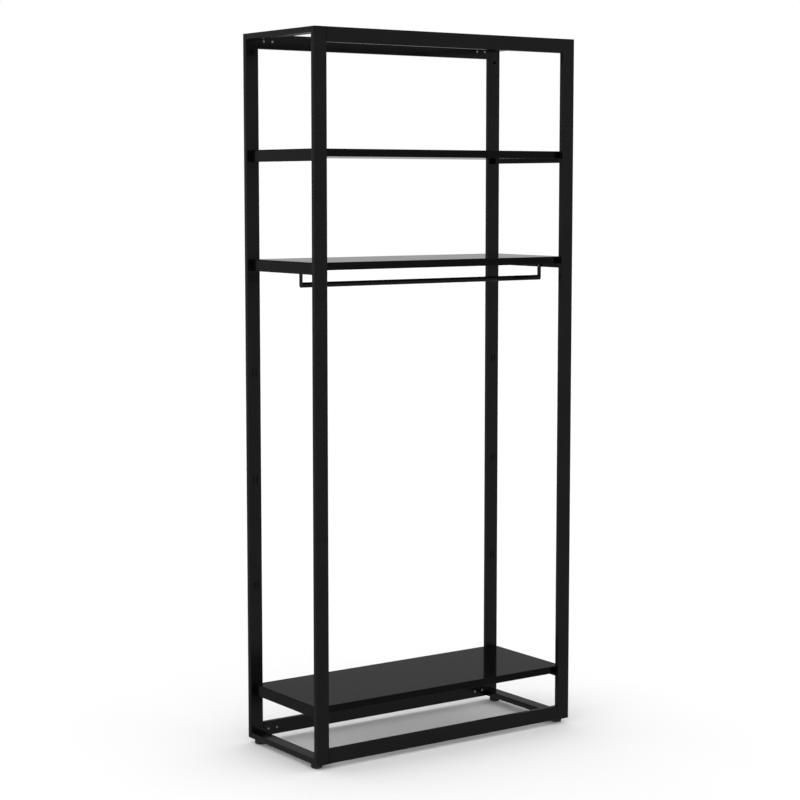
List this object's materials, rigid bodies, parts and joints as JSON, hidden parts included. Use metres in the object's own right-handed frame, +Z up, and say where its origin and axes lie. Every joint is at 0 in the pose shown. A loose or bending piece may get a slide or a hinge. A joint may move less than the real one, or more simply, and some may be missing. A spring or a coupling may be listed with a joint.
{
  "type": "gondola shelving unit",
  "caption": "Tall open steel display frame with hook-in shelves, a hang rail under the middle shelf and levelling feet.",
  "frame": {"origin": "on the floor, in the middle of the footprint", "axes": "+X to the right seen from the front, -Y towards the front, +Z up"},
  "size_m": [1.1, 0.45, 2.483],
  "materials": {
    "powder_coated_steel": "black powder coat",
    "zinc_plated_steel": "zinc plated",
    "foot_plastic": "moulded black plastic"
  },
  "bodies": {
    "frame": {"upright_front_left": "powder_coated_steel", "upright_front_right": "powder_coated_steel", "upright_rear_left": "powder_coated_steel", "upright_rear_right": "powder_coated_steel", "side_rail_top_left": "powder_coated_steel", "side_rail_top_right": "powder_coated_steel", "side_rail_bottom_left": "powder_coated_steel", "side_rail_bottom_right": "powder_coated_steel", "beam_front_top": "powder_coated_steel", "beam_front_bottom": "powder_coated_steel", "beam_rear_top": "powder_coated_steel", "beam_rear_bottom": "powder_coated_steel", "connector_front_top_left": "zinc_plated_steel", "connector_front_top_right": "zinc_plated_steel", "connector_front_bottom_left": "zinc_plated_steel", "connector_front_bottom_right": "zinc_plated_steel", "connector_rear_top_left": "zinc_plated_steel", "connector_rear_top_right": "zinc_plated_steel", "connector_rear_bottom_left": "zinc_plated_steel", "connector_rear_bottom_right": "zinc_plated_steel", "beam_screw_front_top_left_outer": "zinc_plated_steel", "beam_screw_front_top_left_inner": "zinc_plated_steel", "beam_screw_front_top_right_outer": "zinc_plated_steel", "beam_screw_front_top_right_inner": "zinc_plated_steel", "beam_screw_front_bottom_left_outer": "zinc_plated_steel", "beam_screw_front_bottom_left_inner": "zinc_plated_steel", "beam_screw_front_bottom_right_outer": "zinc_plated_steel", "beam_screw_front_bottom_right_inner": "zinc_plated_steel", "beam_screw_rear_top_left_outer": "zinc_plated_steel", "beam_screw_rear_top_left_inner": "zinc_plated_steel", "beam_screw_rear_top_right_outer": "zinc_plated_steel", "beam_screw_rear_top_right_inner": "zinc_plated_steel", "beam_screw_rear_bottom_left_outer": "zinc_plated_steel", "beam_screw_rear_bottom_left_inner": "zinc_plated_steel", "beam_screw_rear_bottom_right_outer": "zinc_plated_steel", "beam_screw_rear_bottom_right_inner": "zinc_plated_steel"},
    "brackets_bottom": {"bracket_bottom_left": "powder_coated_steel", "bracket_bottom_right": "powder_coated_steel"},
    "brackets_middle": {"bracket_middle_left": "powder_coated_steel", "bracket_middle_right": "powder_coated_steel", "hang_rail": "powder_coated_steel", "hang_rail_strap_left": "powder_coated_steel", "hang_rail_strap_right": "powder_coated_steel", "hang_rail_screw_left": "zinc_plated_steel", "hang_rail_screw_right": "zinc_plated_steel", "hang_rail_nut_left": "zinc_plated_steel", "hang_rail_nut_right": "zinc_plated_steel"},
    "brackets_top": {"bracket_top_left": "powder_coated_steel", "bracket_top_right": "powder_coated_steel"},
    "tray_bottom": {"shelf_bottom": "powder_coated_steel"},
    "tray_middle": {"shelf_middle": "powder_coated_steel"},
    "tray_top": {"shelf_top": "powder_coated_steel"},
    "pad_front_left": {"foot_pad_front_left": "foot_plastic"},
    "pad_front_right": {"foot_pad_front_right": "foot_plastic"},
    "pad_rear_left": {"foot_pad_rear_left": "foot_plastic"},
    "pad_rear_right": {"foot_pad_rear_right": "foot_plastic"},
    "stud_front_left": {"foot_stud_front_left": "zinc_plated_steel"},
    "stud_front_right": {"foot_stud_front_right": "zinc_plated_steel"},
    "stud_rear_left": {"foot_stud_rear_left": "zinc_plated_steel"},
    "stud_rear_right": {"foot_stud_rear_right": "zinc_plated_steel"}
  },
  "joints": [
    {"name": "brackets_bottom_unhook", "type": "slide", "parent": "frame", "child": "brackets_bottom", "axis": [0, 0, 1], "range_m": [0, 0.0085]},
    {"name": "brackets_middle_unhook", "type": "slide", "parent": "frame", "child": "brackets_middle", "axis": [0, 0, 1], "range_m": [0, 0.0085]},
    {"name": "brackets_top_unhook", "type": "slide", "parent": "frame", "child": "brackets_top", "axis": [0, 0, 1], "range_m": [0, 0.0085]},
    {"name": "tray_bottom_lift", "type": "slide", "parent": "brackets_bottom", "child": "tray_bottom", "axis": [0, 0, 1], "range_m": [0, 0.06]},
    {"name": "tray_middle_lift", "type": "slide", "parent": "brackets_middle", "child": "tray_middle", "axis": [0, 0, 1], "range_m": [0, 0.06]},
    {"name": "tray_top_lift", "type": "slide", "parent": "brackets_top", "child": "tray_top", "axis": [0, 0, 1], "range_m": [0, 0.06]},
    {"name": "foot_front_left_extend", "type": "slide", "parent": "frame", "child": "pad_front_left", "axis": [0, 0, -1], "range_m": [0, 0.01]},
    {"name": "foot_front_right_extend", "type": "slide", "parent": "frame", "child": "pad_front_right", "axis": [0, 0, -1], "range_m": [0, 0.01]},
    {"name": "foot_rear_left_extend", "type": "slide", "parent": "frame", "child": "pad_rear_left", "axis": [0, 0, -1], "range_m": [0, 0.01]},
    {"name": "foot_rear_right_extend", "type": "slide", "parent": "frame", "child": "pad_rear_right", "axis": [0, 0, -1], "range_m": [0, 0.01]},
    {"name": "foot_front_left_turn", "type": "hinge", "parent": "pad_front_left", "child": "stud_front_left", "pos_m": [-0.525, -0.184, 0.006], "axis": [0, 0, -1], "range_deg": [0, 2400]},
    {"name": "foot_front_right_turn", "type": "hinge", "parent": "pad_front_right", "child": "stud_front_right", "pos_m": [0.525, -0.184, 0.006], "axis": [0, 0, -1], "range_deg": [0, 2400]},
    {"name": "foot_rear_left_turn", "type": "hinge", "parent": "pad_rear_left", "child": "stud_rear_left", "pos_m": [-0.525, 0.184, 0.006], "axis": [0, 0, -1], "range_deg": [0, 2400]},
    {"name": "foot_rear_right_turn", "type": "hinge", "parent": "pad_rear_right", "child": "stud_rear_right", "pos_m": [0.525, 0.184, 0.006], "axis": [0, 0, -1], "range_deg": [0, 2400]}
  ],
  "couplings": [
    {"joint": "foot_front_left_turn", "follows": "foot_front_left_extend", "rad_per_m": 4188.8},
    {"joint": "foot_front_right_turn", "follows": "foot_front_right_extend", "rad_per_m": 4188.8},
    {"joint": "foot_rear_left_turn", "follows": "foot_rear_left_extend", "rad_per_m": 4188.8},
    {"joint": "foot_rear_right_turn", "follows": "foot_rear_right_extend", "rad_per_m": 4188.8}
  ]
}
